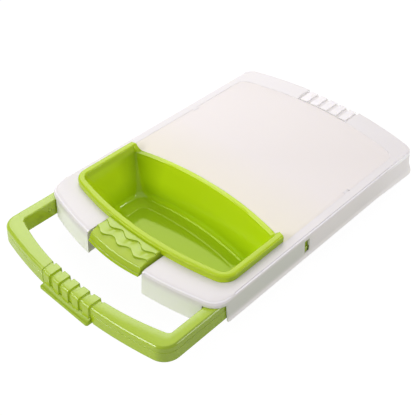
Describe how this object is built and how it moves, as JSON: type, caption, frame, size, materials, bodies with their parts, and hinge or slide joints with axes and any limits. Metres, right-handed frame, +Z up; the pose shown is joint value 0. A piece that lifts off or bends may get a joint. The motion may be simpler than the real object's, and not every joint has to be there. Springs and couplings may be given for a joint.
{
  "type": "drain cutting board",
  "caption": "Flat over-sink cutting board with bowed ends, a sunk lift-out tray at the front and a U-shaped handle that slides out from under it.",
  "frame": {"origin": "under the middle of the whole assembly with the handle pulled out, at the level of the tray's underside", "axes": "+X to the board's right seen from the handle, +Y from the handle to the back edge, +Z up"},
  "size_m": [0.2596, 0.4366, 0.0592],
  "materials": {
    "white_plastic": "smooth moulded white",
    "cream_plastic": "satin, slightly see-through cream",
    "green_plastic": "smooth glossy apple green",
    "foot_rubber": "matte grey-white rubber"
  },
  "bodies": {
    "board": {"board_body": "white_plastic", "cutting_panel": "cream_plastic", "foot_front_left": "foot_rubber", "foot_front_right": "foot_rubber", "foot_back_left": "foot_rubber", "foot_back_right": "foot_rubber"},
    "tray": {"drain_tray": "green_plastic"},
    "handle": {"slide_handle": "green_plastic"}
  },
  "joints": [
    {"name": "tray_lift", "type": "slide", "parent": "board", "child": "tray", "axis": [0, 0, 1], "range_m": [0, 0.07]},
    {"name": "handle_slide", "type": "slide", "parent": "board", "child": "handle", "axis": [0, 1, 0], "range_m": [0, 0.038]}
  ]
}
